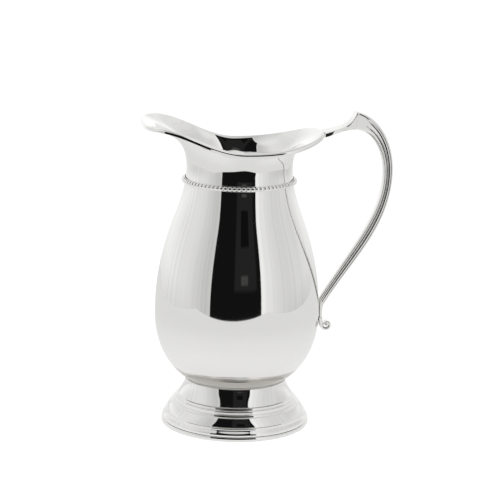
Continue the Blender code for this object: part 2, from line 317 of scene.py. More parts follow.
def collar_section(angle, wall_count, roll_count, bend_count):
    """Mid-line of the sheet: up from the seam, over the roll, down the folded hem."""
    distance, height = rim_at(angle)
    half = abs(math.remainder(angle, 2 * math.pi))
    side = math.sin(half) ** 2
    saddle = side ** 3  # 1 in the middle of the side, fading quickly towards spout and back
    roll = mix(LIP_ROLL["back" if half < math.pi / 2 else "spout"], LIP_ROLL["side"], side)
    hem = mix(HEM["end"], HEM["side"], side * side)
    fold = math.radians(mix(FOLD["end"], FOLD["side"], side * side))
    hang = math.radians(mix(HANG["end"], HANG["side"], side * side))
    neck = NECK_R - WALL / 2
    rise = height - NECK_Z
    spread = mix(3.0, 1.05, saddle) * max(distance - neck, 0.1 * MM)
    lean = min(math.atan2(rise, spread), math.radians(STEEPEST_WALL))
    ease = mix(LIP_EASE["end"], LIP_EASE["side"], saddle)
    eased = mix(lean - 0.05, min(lean - 0.05, math.radians(EASE_ENDS_AT)), saddle)
    tight = mix(roll, CREST_ROLL, saddle)
    start = (
        distance - tight * math.sin(eased) - ease * (math.sin(lean) - math.sin(eased)),
        height - tight * (1 - math.cos(eased)) - ease * (math.cos(eased) - math.cos(lean)),
    )
    reach = max(start[0] - neck, 0.0)
    foot = (SEAM_R - WALL / 2, SEAM_Z + GAP / 2)
    low = bezier(
        foot,
        (foot[0] - 0.3 * MM, foot[1] + 3 * MM),
        (neck, NECK_Z - 4 * MM),
        (neck, NECK_Z),
        12,
    )
    pull_up = mix(0.55, 0.06, saddle) * rise
    pull_back = mix(0.25, 0.62, saddle) * rise + mix(0.5, 0.0, saddle) * reach
    flare = bezier(
        (neck, NECK_Z),
        (neck, NECK_Z + pull_up),
        (start[0] - pull_back * math.cos(lean), start[1] - pull_back * math.sin(lean)),
        start,
        wall_count,
    )
    curl = arc(start, lean, eased, ease, roll_count)
    curl += arc(curl[-1], eased, fold, tight, roll_count)
    curl += arc(curl[-1], fold, hang, HEM_BEND, bend_count)
    last = curl[-1]
    hem_count = 5
    for i in range(1, hem_count + 1):
        down = hem * i / hem_count
        curl.append((last[0] + down * math.cos(hang), last[1] + down * math.sin(hang)))
    return low + flare[1:] + curl


def sheet_around(section, thickness):
    """Closed outline of the sheet, its free edge rounded over."""
    left = inset(section, thickness / 2)
    right = inset(section, -thickness / 2)
    left[0] = (left[0][0], section[0][1])
    right[0] = (right[0][0], section[0][1])
    (ar, az), (br, bz) = right[-1], left[-1]
    mid = ((ar + br) / 2, (az + bz) / 2)
    along = (section[-1][0] - section[-2][0], section[-1][1] - section[-2][1])
    length = math.hypot(*along)
    edge = []
    edge_count, edge_bulge = 6, 0.22
    for k in range(1, edge_count):
        a = math.pi * k / edge_count
        out = math.sin(a) * thickness * edge_bulge / length
        edge.append(
            (
                mid[0] + (ar - mid[0]) * math.cos(a) + along[0] * out,
                mid[1] + (az - mid[1]) * math.cos(a) + along[1] * out,
            )
        )
    return right + edge + left[::-1]


def build_collar(material):
    stations = 320
    columns = []
    for i in range(stations):
        angle = 2 * math.pi * i / stations
        section = collar_section(angle, wall_count=40, roll_count=14, bend_count=10)
        outline = sheet_around(section, WALL)
        c, s = math.cos(angle), math.sin(angle)
        columns.append([Vector((AXIS.x + r * c, r * s, z)) for r, z in outline])
    rings = [[column[k] for column in columns] for k in range(len(columns[0]))]
    bm = skin_mesh(rings, closed_loop=True)
    return new_piece("collar_polished", bm, material, "neck_lip", 60)


# ------------------------------------------------------------------ moulding over the seam
def build_seam_strap(material):
    depth, corner = 0.35 * MM, 0.15 * MM
    outer = STRAP_SIZE.x / 2
    inner = outer - depth
    half = STRAP_SIZE.z / 2
    profile = softened(
        [
            (inner, SEAM_Z - half, 0),
            (outer, SEAM_Z - half, corner),
            (outer, SEAM_Z + half, corner),
            (inner, SEAM_Z + half, 0),
        ],
        4,
    )
    bm = turned_mesh(profile, 192)
    return new_piece("seam_strap_fine", bm, material, "seam_strap", 40)


def build_beads(material):
    """A strip of 78 pillow-shaped beads: swell is the half height at each place round it."""
    beads, per_bead, around = 78, 16, 18
    waist, pinch, fullness = 0.95, 3.4, 0.72
    outer = BEADS_SIZE.x / 2
    radius = BEADS_SIZE.z / 2
    back = outer - radius
    stations = []
    for i in range(beads * per_bead):
        turn = (i / per_bead + 0.5) % 1.0 - 0.5
        swell = radius * (1 - waist * abs(2 * turn) ** pinch) ** (1 / 3)
        angle = 2 * math.pi * i / (beads * per_bead)
        c, s = math.cos(angle), math.sin(angle)
        ring = []
        for k in range(around + 1):
            a = -math.pi / 2 + math.pi * k / around
            r = back + swell * max(math.cos(a), 0.0) ** fullness
            z = SEAM_Z + swell * math.copysign(abs(math.sin(a)) ** fullness, a)
            ring.append(Vector((AXIS.x + r * c, r * s, z)))
        stations.append(ring)
    bm = skin_mesh(stations, closed_loop=True)
    return new_piece("bead_moulding_fine", bm, material, "bead_moulding", 60)


# ------------------------------------------------------------------ foot
def build_foot(material):
    """Hollow, step, bead, ledge, ovolo and the steps of the base, from the top down."""
    top = SHELL_HIGH.z
    low = SHELL_LOW.z

    def at(r, down, radius=0.0):
        """A corner of the outline, in millimetres from the axis and down from the top."""
        return (r * MM, top - down * MM, radius * MM)

    def curve(a, b, c, d, count):
        return bezier(*(at(*point)[:2] for point in (a, b, c, d)), count)

    hollow = curve((39.0, 0.0), (39.5, 4.6), (42.0, 8.7), (44.4, 12.6), 40)
    step = softened(
        [
            at(44.4, 12.6),
            at(44.6, 12.95, 0.15),
            at(45.95, 13.25, 0.3),
            at(46.15, 14.75, 0.2),
            at(47.2, 15.1),
        ]
    )
    bead = curve((47.2, 15.1), (47.75, 15.25), (47.95, 16.4), (47.7, 16.9), 14)
    ledge = softened(
        [
            at(47.7, 16.9),
            at(47.8, 17.6, 0.2),
            at(49.3, 17.95, 0.3),
            at(49.5, 19.2, 0.2),
            at(50.8, 19.5),
        ]
    )
    ovolo = curve((50.8, 19.5), (52.1, 21.5), (53.4, 23.6), (54.0, 25.6), 30)
    foot_r = SHELL_HIGH.x - AXIS.x
    steps = softened(
        [
            at(54.0, 25.6),
            at(54.1, 26.0, 0.2),
            at(55.3, 26.4, 0.3),
            at(55.5, 27.9, 0.2),
            at(57.1, 30.2, 0.25),
            at(57.3, 31.3, 0.3),
            (foot_r, low, 0),
        ]
    )
    outer = hollow + step[1:] + bead[1:] + ledge[1:] + ovolo[1:] + steps[1:]
    inner = softened(
        [
            (55.4 * MM, low, 0),
            (52.6 * MM, 9.0 * MM, 3 * MM),
            (47.4 * MM, 15.6 * MM, 3 * MM),
            (42.6 * MM, 20.6 * MM, 3 * MM),
            (38.4 * MM, 26.2 * MM, 3 * MM),
            (36.9 * MM, 30.5 * MM, 2 * MM),
            (37.2 * MM, top - 1.4 * MM, 0),
        ],
        6,
    )
    bm = turned_mesh(dense(outer, 0.8 * MM) + dense(inner, 3 * MM), 256)
    return new_piece("foot_shell_fine", bm, material, "foot_shell", 50)


def build_foot_ring(material):
    """The flat wire that the pitcher stands on."""
    depth = 3.3 * MM
    outer = RING_SIZE.x / 2
    inner = outer - depth
    high = RING_SIZE.z
    profile = softened(
        [
            (inner, 0.0, 0),
            (outer - 0.3 * MM, 0.0, 0.4 * MM),
            (outer, 0.5 * MM, 0.4 * MM),
            (outer, 2.0 * MM, 0.3 * MM),
            (outer - 0.4 * MM, high - 0.2 * MM, 0.3 * MM),
            (outer - 1.1 * MM, high, 0.3 * MM),
            (inner, high, 0),
        ]
    )
    bm = turned_mesh(dense(profile, 1.2 * MM), 256)
    return new_piece("foot_ring_fine", bm, material, "foot_ring", 50)


def build_foot_solder(material):
    """The thin ring of solder in the corner between bowl and foot."""
    r, z = JOINT_R + 0.1 * MM, JOINT_Z - 0.65 * MM
    profile = softened(
        [
            (r - 0.1 * MM, z - 0.3 * MM, 0),
            (r + 0.12 * MM, z - 0.3 * MM, 0.2 * MM),
            (r + 0.34 * MM, z + 0.2 * MM, 0.1 * MM),
            (r - 0.1 * MM, z + 0.2 * MM, 0),
        ],
        4,
    )
    bm = turned_mesh(profile, 192)
    return new_piece("foot_solder_fine", bm, material, "foot_solder", 50)


# ------------------------------------------------------------------ handle
TANG_W = HANDLE_HIGH.y - HANDLE_LOW.y
THUMB_W, GRIP_W, TAIL_W = 14.5 * MM, 12.6 * MM, SCROLL_HIGH.y - SCROLL_LOW.y
SHOULDER_Z = 200.0 * MM
TIP_AT, GRIP_AT, TAIL_AT, END_AT = 8, 18, 32, 35  # progress f along the handle
TANG_SQUARENESS, GRIP_SQUARENESS = 9.0, 2.6
UNDERCUT = 0.25  # how much the sides lean inwards below the bevel
BEVEL = {"lip": 1.0, "tang": 0.42, "rise": 0.2}  # share of the depth that is bevelled
BEVEL_SLOPE = {"tang": 0.28, "rise": 0.07}
REEDS = 7
REED_DEPTH = 0.8 * MM
REED_ROUNDNESS = 0.96
REEDED_TO = math.radians(142)  # the reeds cover the section from its back to this angle
REED_START, REED_START_BEND, REED_START_MID = 0.9, 1.1, 0.45  # a shallow V past the tip
REED_FADE_IN, REED_FADE_OUT = 1.8, 6
REED_FULL_DEPTH_AT = 3.6 * MM  # half thickness of the handle below which the reeds get shallower


def handle_rails(f):
    """(back, front) of the handle at progress f, as (distance from the axis, height): 0 at
    the lip, 8 at the tip of the thumb rise, 18 at the shoulder, 32 where the tail starts and
    35 at its end."""
    tip, under_tip = (89.3 * MM, THUMB_Z), (87.6 * MM, 232.4 * MM)
    start = LIP_BACK_REACH + GAP * 0.9
    low_back, low_front = (68.5 * MM, 93.2 * MM), (64.8 * MM, 99.0 * MM)
    shoulder = (HANDLE_REACH, SHOULDER_Z)
    palm = (112.3 * MM, SHOULDER_Z - 2 * MM)
    if f <= TIP_AT:
        t = f / TIP_AT
        back = ((start, 230.7 * MM), (78 * MM, 235.0 * MM), (84.3 * MM, 233.4 * MM), tip)
        front = ((start, 227.2 * MM), (72 * MM, 229.6 * MM), (80 * MM, 232.2 * MM), under_tip)
    elif f <= GRIP_AT:
        t = (f - TIP_AT) / (GRIP_AT - TIP_AT)
        back = (tip, (107.5 * MM, 242.6 * MM), (HANDLE_REACH, SHOULDER_Z + 24 * MM), shoulder)
        front = (under_tip, (101.5 * MM, 233.4 * MM), (palm[0], SHOULDER_Z + 16 * MM), palm)
    elif f <= TAIL_AT:
        t = (f - GRIP_AT) / (TAIL_AT - GRIP_AT)
        back = (shoulder, (HANDLE_REACH, SHOULDER_Z - 45 * MM), (90.2 * MM, 130 * MM), low_back)
        front = (palm, (palm[0], SHOULDER_Z - 35 * MM), (87.2 * MM, 136.5 * MM), low_front)
    else:
        t = (f - TAIL_AT) / (END_AT - TAIL_AT)
        back = (
            low_back,
            (low_back[0] - 1.0 * MM, low_back[1] - 1.7 * MM),
            (67.3 * MM, TAIL_LOW_Z + 3 * MM),
            (67.4 * MM, TAIL_LOW_Z),
        )
        front = (
            low_front,
            (low_front[0] - 0.2 * MM, low_front[1] - 4 * MM),
            (64.8 * MM, TAIL_LOW_Z + 5 * MM),
            (64.9 * MM, TAIL_LOW_Z),
        )
    return on_bezier(back, t), on_bezier(front, t)


def handle_width(f):
    if f <= TIP_AT:
        return mix(TANG_W, THUMB_W, smoothstep(f / 6))
    if f <= GRIP_AT:
        return mix(THUMB_W, GRIP_W, (f - TIP_AT) / (GRIP_AT - TIP_AT))
    return mix(GRIP_W, TAIL_W, smoothstep((f - GRIP_AT) / (END_AT - GRIP_AT)))


def handle_ring(f, count):
    """One section of the handle: a bevelled strap up to the tip, a reeded oval after it."""
    back, front = handle_rails(f)
    width = handle_width(f)
    squareness = mix(TANG_SQUARENESS, GRIP_SQUARENESS, smoothstep((f - 7.5) / 4.5))
    undercut = UNDERCUT * smoothstep((17 - f) / 6)
    bevel = mix(BEVEL["lip"], BEVEL["tang"], smoothstep(f / 4.0))
    bevel = mix(bevel, BEVEL["rise"], smoothstep((f - 5) / 2))
    bevel *= smoothstep((TIP_AT + 0.3 - f) / 0.3)
    bevel_slope = mix(BEVEL_SLOPE["tang"], BEVEL_SLOPE["rise"], smoothstep((f - 3.5) / 3))
    mid = ((back[0] + front[0]) / 2, (back[1] + front[1]) / 2)
    half_deep = math.dist(back, front) / 2
    axis = ((back[0] - front[0]) / (2 * half_deep), (back[1] - front[1]) / (2 * half_deep))
    reeds_left = smoothstep((END_AT - f) / REED_FADE_OUT)
    ring = []
    for k in range(count):
        angle = 2 * math.pi * (k + 0.5) / count
        c, s = math.cos(angle), math.sin(angle)
        shape = squareish(c, s, squareness)
        deep = c * shape * half_deep
        edge = half_deep * (1 - 2 * bevel)
        slope = bevel_slope * max(deep - edge, 0.0) + undercut * max(edge - deep, 0.0)
        across = s * shape * (width / 2 - slope)
        spread = abs(math.remainder(angle, 2 * math.pi)) / REEDED_TO
        if spread < 1 and f > TIP_AT:
            wave = 2 * abs((spread * REEDS / 2 + 0.5) % 1.0 - 0.5)
            wave = 1 - math.sqrt(max(1 - REED_ROUNDNESS * wave * wave, 0.0))
            begin = TIP_AT + REED_START + REED_START_BEND * abs(spread - REED_START_MID)
            shown = smoothstep((f - begin) / REED_FADE_IN)
            cut = REED_DEPTH * max(wave - (1 - shown), 0.0) * reeds_left
            thin = min(1.0, half_deep / REED_FULL_DEPTH_AT)
            across -= cut * thin * s
            deep -= cut * thin * c
        x = AXIS.x + mid[0] + axis[0] * deep
        ring.append(Vector((x, across, mid[1] + axis[1] * deep)))
    return ring


def build_handle(material):
    count, rings_per_step = 252, 12
    steps = [i / rings_per_step for i in range(END_AT * rings_per_step + 1)]
    bm = skin_mesh([handle_ring(f, count) for f in steps], closed_loop=False)
    return new_piece("handle_fine", bm, material, "handle", 40)


def build_scroll(material):
    """Curl below the tail: a bar that leads in and winds up round a small boss."""
    centre = Vector((AXIS.x + 70.9 * MM, 77.4 * MM))
    outer_r, inner_r = 4.15 * MM, 1.45 * MM
    first_angle, sweep = 170, 370
    lead_in = math.radians(180 - first_angle)
    line = bezier(
        (AXIS.x + 66.15 * MM, TAIL_LOW_Z - GAP * 0.6),
        (AXIS.x + 66.2 * MM, TAIL_LOW_Z - 2.0 * MM),
        (centre.x - 4.35 * MM, centre.y + 2.4 * MM),
        (centre.x - outer_r * math.cos(lead_in), centre.y + outer_r * math.sin(lead_in)),
        14,
    )[:-1]
    turn_steps = 96
    for i in range(turn_steps + 1):
        share = i / turn_steps
        angle = math.radians(first_angle + sweep * share)
        radius = mix(outer_r, inner_r, share ** 0.9)
        line.append((centre.x + radius * math.cos(angle), centre.y + radius * math.sin(angle)))
    thick, thin = 3.2, 1.5  # of the bar at its start and end, in millimetres
    narrowing, squareness, around = 0.6 * MM, 5, 28
    rings = []
    for i, (x, z) in enumerate(line):
        before = line[max(i - 1, 0)]
        after = line[min(i + 1, len(line) - 1)]
        dx, dz = after[0] - before[0], after[1] - before[1]
        length = math.hypot(dx, dz)
        nx, nz = -dz / length, dx / length
        share = i / (len(line) - 1)
        half_t = mix(thick, thin, share ** 0.7) / 2 * MM
        half_w = mix(TAIL_W, TAIL_W - narrowing, share) / 2
        ring = []
        for k in range(around):
            a = 2 * math.pi * (k + 0.5) / around
            c, s = math.cos(a), math.sin(a)
            shape = squareish(c, s, squareness)
            across_x = nx * half_t * c * shape
            across_z = nz * half_t * c * shape
            ring.append(Vector((x + across_x, half_w * s * shape, z + across_z)))
        rings.append(ring)
    bm = skin_mesh(rings, closed_loop=False)
    piece = new_piece("handle_scroll_fine", bm, material, "handle_scroll", 40)
    boss_r, boss_stretch, boss_shift = 0.95 * MM, 4.0, 0.1 * MM
    bm = bmesh.new()
    bmesh.ops.create_uvsphere(bm, u_segments=32, v_segments=16, radius=boss_r)
    for vert in bm.verts:
        x, y, z = vert.co
        vert.co = Vector((centre.x + boss_shift + x, y * boss_stretch, centre.y - boss_shift + z))
    eye = new_piece("scroll_eye", bm, material, None, 40)
    return piece, eye


def build_pad(material):
    """Solder pad between bowl and curl, its corners drawn out to a fillet."""
    top, low = 82.4 * MM, 74.8 * MM
    inner_at = {"low": 62.95, "top": 64.2}  # millimetres from the axis, just off the bowl
    edge_t, middle_t, taper = 0.35 * MM, 1.5 * MM, 0.45
    half_w, squareness = 3.1 * MM, 3
    count, around = 16, 20
    rings = []
    for i in range(count + 1):
        t = i / count
        z = mix(low, top, t)
        inner = mix(inner_at["low"], inner_at["top"], t) * MM
        swell = math.sin(math.pi * min(max(t, 0.04), 0.96)) ** 0.5
        outer = inner + mix(edge_t, middle_t, swell) * (1 - taper * t)
        half = half_w * (0.7 + 0.3 * swell)
        ring = []
        for k in range(around):
            a = 2 * math.pi * (k + 0.5) / around
            c, s = math.cos(a), math.sin(a)
            shape = squareish(c, s, squareness)
            x = (inner + outer) / 2 + c * shape * (outer - inner) / 2
            ring.append(Vector((AXIS.x + x, half * s * shape, z)))
        rings.append(ring)
    bm = skin_mesh(rings, closed_loop=False)
    return new_piece("handle_pad_fine", bm, material, "handle_pad", 50)


# ------------------------------------------------------------------ materials
class Nodes:
    """Short form for building a node tree."""

    def __init__(self, tree):
        self.tree = tree

    def add(self, kind, **settings):
        """A new node, each setting being a property of it or the value of an input."""
        node = self.tree.nodes.new(kind)
        for key, value in settings.items():
            if hasattr(node, key):
                setattr(node, key, value)
            else:
                node.inputs[key.replace("_", " ")].default_value = value
        return node

    def link(self, a, b):
        self.tree.links.new(a, b)

    def math(self, operation, a, b=None, clamp=False):
        """The output of a maths node whose inputs are sockets or numbers."""
        node = self.tree.nodes.new("ShaderNodeMath")
        node.operation = operation
        node.use_clamp = clamp
        for socket, value in zip(node.inputs, (a, b)):
            if value is None:
                continue
            if isinstance(value, (int, float)):
                socket.default_value = value
            else:
                self.link(value, socket)
        return node.outputs[0]

    def ramp(self, fac, stops, interpolation="LINEAR"):
        node = self.tree.nodes.new("ShaderNodeValToRGB")
        node.color_ramp.interpolation = interpolation
        elements = node.color_ramp.elements
        while len(elements) < len(stops):
            elements.new(0.5)
        for element, (position, colour) in zip(elements, stops):
            element.position = position
            element.color = (*colour, 1) if len(colour) == 3 else colour
        self.link(fac, node.inputs[0])
        return node.outputs[0]


def grey(value):
    return (value, value, value)


SILVER = (0.945, 0.94, 0.925)
HANDLED_SILVER = (0.92, 0.915, 0.895)
# painted shade: the brownish colour that darkens hollows, between the beads and in grooves
PAINTED_HOLLOW_SHADE = (0.33, 0.29, 0.23)
# painted shade: the grey band darkening the bowl just above its foot
PAINTED_LOW_SHADE = (0.52, 0.505, 0.47)


def silver(name, colour, roughness, hairlines, wobble, recess=None, crevice=None):
    """Polished silver plate: polishing hairlines round the axis, fine scratches, clouds of
    haze and faint waviness from the hammer and lathe. recess is the range of pointiness over
    which brownish painted shade fills the hollows, and crevice the range of heights over which
    a band of painted shade thins out upwards. hairlines and wobble are bump heights in metres."""
    material = bpy.data.materials.new(name)
    material.use_nodes = True
    n = Nodes(material.node_tree)
    shader = material.node_tree.nodes["Principled BSDF"]
    shader.inputs["Metallic"].default_value = 1.0
    place = n.add("ShaderNodeTexCoord").outputs["Object"]

    lines_at = n.add("ShaderNodeMapping")
    lines_at.inputs["Scale"].default_value = (14.0, 14.0, 2600.0)
    n.link(place, lines_at.inputs["Vector"])
    lines = n.add("ShaderNodeTexNoise", Scale=1.0, Detail=3.0, Roughness=0.6)
    n.link(lines_at.outputs[0], lines.inputs["Vector"])

    scratch_at = n.add("ShaderNodeMapping")
    scratch_at.inputs["Rotation"].default_value = (0.5, 0.35, 0.9)
    scratch_at.inputs["Scale"].default_value = (2200.0, 90.0, 90.0)
    n.link(place, scratch_at.inputs["Vector"])
    scratch = n.add("ShaderNodeTexNoise", Scale=1.0, Detail=2.0, Roughness=0.5)
    n.link(scratch_at.outputs[0], scratch.inputs["Vector"])
    marks = n.ramp(scratch.outputs["Fac"], [(0.0, grey(0)), (0.70, grey(0)), (0.78, grey(1))])

    haze = n.add("ShaderNodeTexNoise", Scale=38.0, Detail=5.0, Roughness=0.62)
    n.link(place, haze.inputs["Vector"])
    clouds = n.ramp(haze.outputs["Fac"], [(0.42, grey(0)), (0.72, grey(1))])

    # the roughness: a base, and more of it in the clouds, scratches and hairlines
    rough = n.math("MULTIPLY_ADD", clouds, roughness * 0.7)
    rough.node.inputs[2].default_value = roughness * 0.55
    rough = n.math("ADD", rough, n.math("MULTIPLY", marks, roughness * 0.9))
    rough = n.math("ADD", rough, n.math("MULTIPLY", lines.outputs["Fac"], roughness * 0.35))

    duller = tuple(v * 0.985 for v in colour)
    wear = n.ramp(haze.outputs["Fac"], [(0.35, colour), (0.75, duller)])
    tint = wear
    # painted shade in the hollows: the colour darkens where the surface is more hollow
    if recess:
        geometry = n.add("ShaderNodeNewGeometry")
        low, high = recess
        hollow = n.ramp(
            geometry.outputs["Pointiness"], [(low, grey(1)), (high, grey(0))], "EASE"
        )
        blend = n.add("ShaderNodeMix", data_type="RGBA")
        n.link(hollow, blend.inputs[0])
        n.link(wear, blend.inputs[6])
        blend.inputs[7].default_value = (*PAINTED_HOLLOW_SHADE, 1)
        tint = blend.outputs[2]
        rough = n.math("ADD", rough, n.math("MULTIPLY", hollow, 0.22))
    # painted shade: a band low on the piece that thins out upwards, its upper edge ragged
    if crevice:
        low, high = crevice
        height = n.add("ShaderNodeSeparateXYZ")
        n.link(place, height.inputs[0])
        below = n.math("SUBTRACT", high, height.outputs[2])
        depth = n.math("MULTIPLY", below, 1 / (high - low), clamp=True)
        spots = n.math("MULTIPLY", n.math("SUBTRACT", haze.outputs["Fac"], 0.5), 0.5)
        ragged = n.math("ADD", depth, spots)
        low_shade_mask = n.ramp(ragged, [(0.12, grey(0)), (0.32, grey(1))])
        blend = n.add("ShaderNodeMix", data_type="RGBA")
        n.link(low_shade_mask, blend.inputs[0])
        n.link(tint, blend.inputs[6])
        blend.inputs[7].default_value = (*PAINTED_LOW_SHADE, 1)
        tint = blend.outputs[2]
    n.link(tint, shader.inputs["Base Color"])
    n.link(rough, shader.inputs["Roughness"])

    waves = n.add("ShaderNodeTexNoise", Scale=34.0, Detail=2.0, Roughness=0.45)
    n.link(place, waves.inputs["Vector"])
    broad = n.add("ShaderNodeBump", Strength=1.0, Distance=wobble)
    n.link(waves.outputs["Fac"], broad.inputs["Height"])
    fine = n.add("ShaderNodeBump", Strength=1.0, Distance=hairlines)
    n.link(lines.outputs["Fac"], fine.inputs["Height"])
    n.link(broad.outputs[0], fine.inputs["Normal"])
    n.link(fine.outputs[0], shader.inputs["Normal"])
    return material


def solder():
    """Dull grey solder with a fine grain."""
    dark, light = (0.42, 0.41, 0.38), (0.68, 0.67, 0.64)
    rough_dark, rough_light = 0.42, 0.24
    material = bpy.data.materials.new("solder_seam")
    material.use_nodes = True
    n = Nodes(material.node_tree)
    shader = material.node_tree.nodes["Principled BSDF"]
    shader.inputs["Metallic"].default_value = 1.0
    place = n.add("ShaderNodeTexCoord").outputs["Object"]
    grain = n.add("ShaderNodeTexNoise", Scale=900.0, Detail=4.0)
    n.link(place, grain.inputs["Vector"])
    colour = n.ramp(grain.outputs["Fac"], [(0.3, dark), (0.7, light)])
    n.link(colour, shader.inputs["Base Color"])
    rough = n.ramp(grain.outputs["Fac"], [(0.3, grey(rough_dark)), (0.7, grey(rough_light))])
    n.link(rough, shader.inputs["Roughness"])
    bump = n.add("ShaderNodeBump", Strength=1.0, Distance=0.04 * MM)
    n.link(grain.outputs["Fac"], bump.inputs["Height"])
    n.link(bump.outputs[0], shader.inputs["Normal"])
    return material


mirror = silver("silver_mirror", SILVER, roughness=0.035, hairlines=2.0e-7, wobble=0.9e-5)
# the bowl gets a band of painted shade just above the foot
bowl_mirror = silver(
    "silver_bowl",
    SILVER,
    roughness=0.035,
    hairlines=2.0e-7,
    wobble=0.9e-5,
    crevice=(JOINT_Z, JOINT_Z + 14.0 * MM),
)
# the beads get painted shade in the gaps between them
beaded = silver(
    "silver_beads",
    SILVER,
    roughness=0.03,
    hairlines=0.3e-7,
    wobble=0.1e-5,
    recess=(0.40, 0.47),
)
# painted shade in the hollows of the strap, handle, reeds and scroll; the duller base is wear
worn_with_hollow_shade = silver(
    "silver_handled_hollow_shade",
    HANDLED_SILVER,
    roughness=0.07,
    hairlines=0.5e-7,
    wobble=0.4e-5,
    recess=(0.43, 0.495),
)
joint = solder()

build_bowl(bowl_mirror)
build_collar(mirror)
build_seam_strap(worn_with_hollow_shade)
build_beads(beaded)
build_foot(mirror)
build_foot_ring(mirror)
build_foot_solder(joint)
build_handle(worn_with_hollow_shade)
build_scroll(worn_with_hollow_shade)
build_pad(joint)


# ------------------------------------------------------------------ camera
AZIMUTH = math.radians(-7.0)
FLAT_DISTANCE = 1.36
SIDE_SHIFT = 1.44 * MM
EYE_HEIGHT = 0.4366
PITCH = math.radians(12.09)
ROLL = math.radians(1.2)
FOCAL_LENGTH, SENSOR_WIDTH = 134.4, 36.0  # in millimetres, as Blender wants them

forward = Vector(
    (-math.sin(AZIMUTH) * math.cos(PITCH), math.cos(AZIMUTH) * math.cos(PITCH), -math.sin(PITCH))
)
right = Vector((math.cos(AZIMUTH), math.sin(AZIMUTH), 0.0))
up = right.cross(forward)
rolled_right = right * math.cos(ROLL) + up * math.sin(ROLL)
rolled_up = up * math.cos(ROLL) - right * math.sin(ROLL)
eye = AXIS + Vector(
    (FLAT_DISTANCE * math.sin(AZIMUTH), -FLAT_DISTANCE * math.cos(AZIMUTH), EYE_HEIGHT)
)
eye += right * SIDE_SHIFT
camera_data = bpy.data.cameras.new("camera")
camera_data.lens = FOCAL_LENGTH
camera_data.sensor_width = SENSOR_WIDTH
camera = bpy.data.objects.new("camera", camera_data)
camera.matrix_world = Matrix.Translation(eye) @ Matrix(
    (rolled_right, rolled_up, -forward)
).transposed().to_4x4()
bpy.context.scene.collection.objects.link(camera)
bpy.context.scene.camera = camera


# ------------------------------------------------------------------ studio
TABLE_X, TABLE_Y = (-0.66, 0.66), (-0.58, 0.66)
TABLE_Z, FLOOR_Z = -0.2 * MM, -0.4 * MM
TABLE_TURN = math.radians(-14.4)
FLOOR_HALF = 40.0


def plane(name, span_x, span_y, z, material):
    (x0, x1), (y0, y1) = span_x, span_y
    bm = bmesh.new()
    corners = ((x0, y0), (x1, y0), (x1, y1), (x0, y1))
    bm.faces.new([bm.verts.new((x, y, z)) for x, y in corners])
    mesh = bpy.data.meshes.new(name)
    bm.to_mesh(mesh)
    bm.free()
    mesh.materials.append(material)
    made = bpy.data.objects.new(name, mesh)
    bpy.context.scene.collection.objects.link(made)
    return made


def glow(name, strength, diffuse):
    """Matt white that reflects the diffuse share of the light and gives off some itself."""
    material = bpy.data.materials.new(name)
    material.use_nodes = True
    shader = material.node_tree.nodes["Principled BSDF"]
    shader.inputs["Base Color"].default_value = (diffuse, diffuse, diffuse, 1)
    shader.inputs["Roughness"].default_value = 0.9
    shader.inputs["Specular IOR Level"].default_value = 0.0
    shader.inputs["Emission Color"].default_value = (1, 1, 1, 1)
    shader.inputs["Emission Strength"].default_value = strength
    return material


def table_white():
    """White table top with a painted pool of light: brightest round the foot, dimmer at its edges.
    """
    material = glow("table_white", strength=1.0, diffuse=0.62)
    n = Nodes(material.node_tree)
    shader = material.node_tree.nodes["Principled BSDF"]
    place = n.add("ShaderNodeTexCoord").outputs["Object"]
    away = n.add("ShaderNodeVectorMath", operation="LENGTH")
    n.link(place, away.inputs[0])
    # painted light: the glow is strongest round the foot and fades towards the table's edges
    level = n.ramp(
        away.outputs["Value"],
        [(0.06, grey(0.50)), (0.15, grey(0.45)), (0.34, grey(0.34)), (0.62, grey(0.35))],
        "B_SPLINE",
    )
    n.link(level, shader.inputs["Emission Strength"])
    return material


def floor_white():
    """Plain pale floor that the camera sees from above, and looks through from below."""
    material = glow("floor_white", strength=0.86, diffuse=0.3)
    n = Nodes(material.node_tree)
    shader = material.node_tree.nodes["Principled BSDF"]
    output = material.node_tree.nodes["Material Output"]
    clear = n.add("ShaderNodeBsdfTransparent")
    side = n.add("ShaderNodeMixShader")
    n.link(n.add("ShaderNodeNewGeometry").outputs["Backfacing"], side.inputs[0])
    n.link(shader.outputs[0], side.inputs[1])
    n.link(clear.outputs[0], side.inputs[2])
    n.link(side.outputs[0], output.inputs["Surface"])
    return material


# the camera sees the floor only, and the silver reflects the table only
floor_span = (-FLOOR_HALF, FLOOR_HALF)
floor = plane("floor", floor_span, floor_span, FLOOR_Z, floor_white())
floor.visible_glossy = False
floor.visible_diffuse = False
table = plane("table", TABLE_X, TABLE_Y, TABLE_Z, table_white())
table.visible_camera = False
table.location = AXIS
table.rotation_euler = (0, 0, TABLE_TURN)

# ------------------------------------------------------------------ booth round the table
# Directions as seen from the pitcher: azimuth is 0 towards the camera and grows to the camera's
# right, and z is the height of the direction's unit vector, 0 when level and 1 straight up.
OPENING_MID = math.radians(-1.5)
OPENING_HALF_LOW, OPENING_HALF_HIGH = 36.0, 33.0  # degrees, at z 0.40 and 0.77
OPENING_TOP = 0.766
OPENING_EDGE = 120.0  # sharpness of its edges
WALL_LEVELS = (  # (azimuth in degrees, brightness)
    (-180, 1.06),
    (-141, 0.91),
    (-119, 0.86),
    (-100, 0.80),
    (-75, 0.73),
    (-62, 0.66),
    (-50, 0.57),
    (-40, 0.57),
    (30, 0.86),
    (37.6, 0.86),
    (46, 0.80),
    (58, 0.72),
    (70, 0.68),
    (84, 0.67),
    (105, 0.72),
    (124, 0.76),
    (151, 0.90),
    (180, 1.06),
)
FOLDS = 70.0  # scale of the noise that makes them, over the whole turn
FOLD_DEPTH = 0.05
BACK_DIMMED, LOW_DIMMED = 0.20, 0.20
ROOM_BLACK, ROOM_GREY = 0.006, 0.010
LIGHT_PATCH, DARK_PATCH = 0.035, 0.7  # light added by one, share taken away by the other

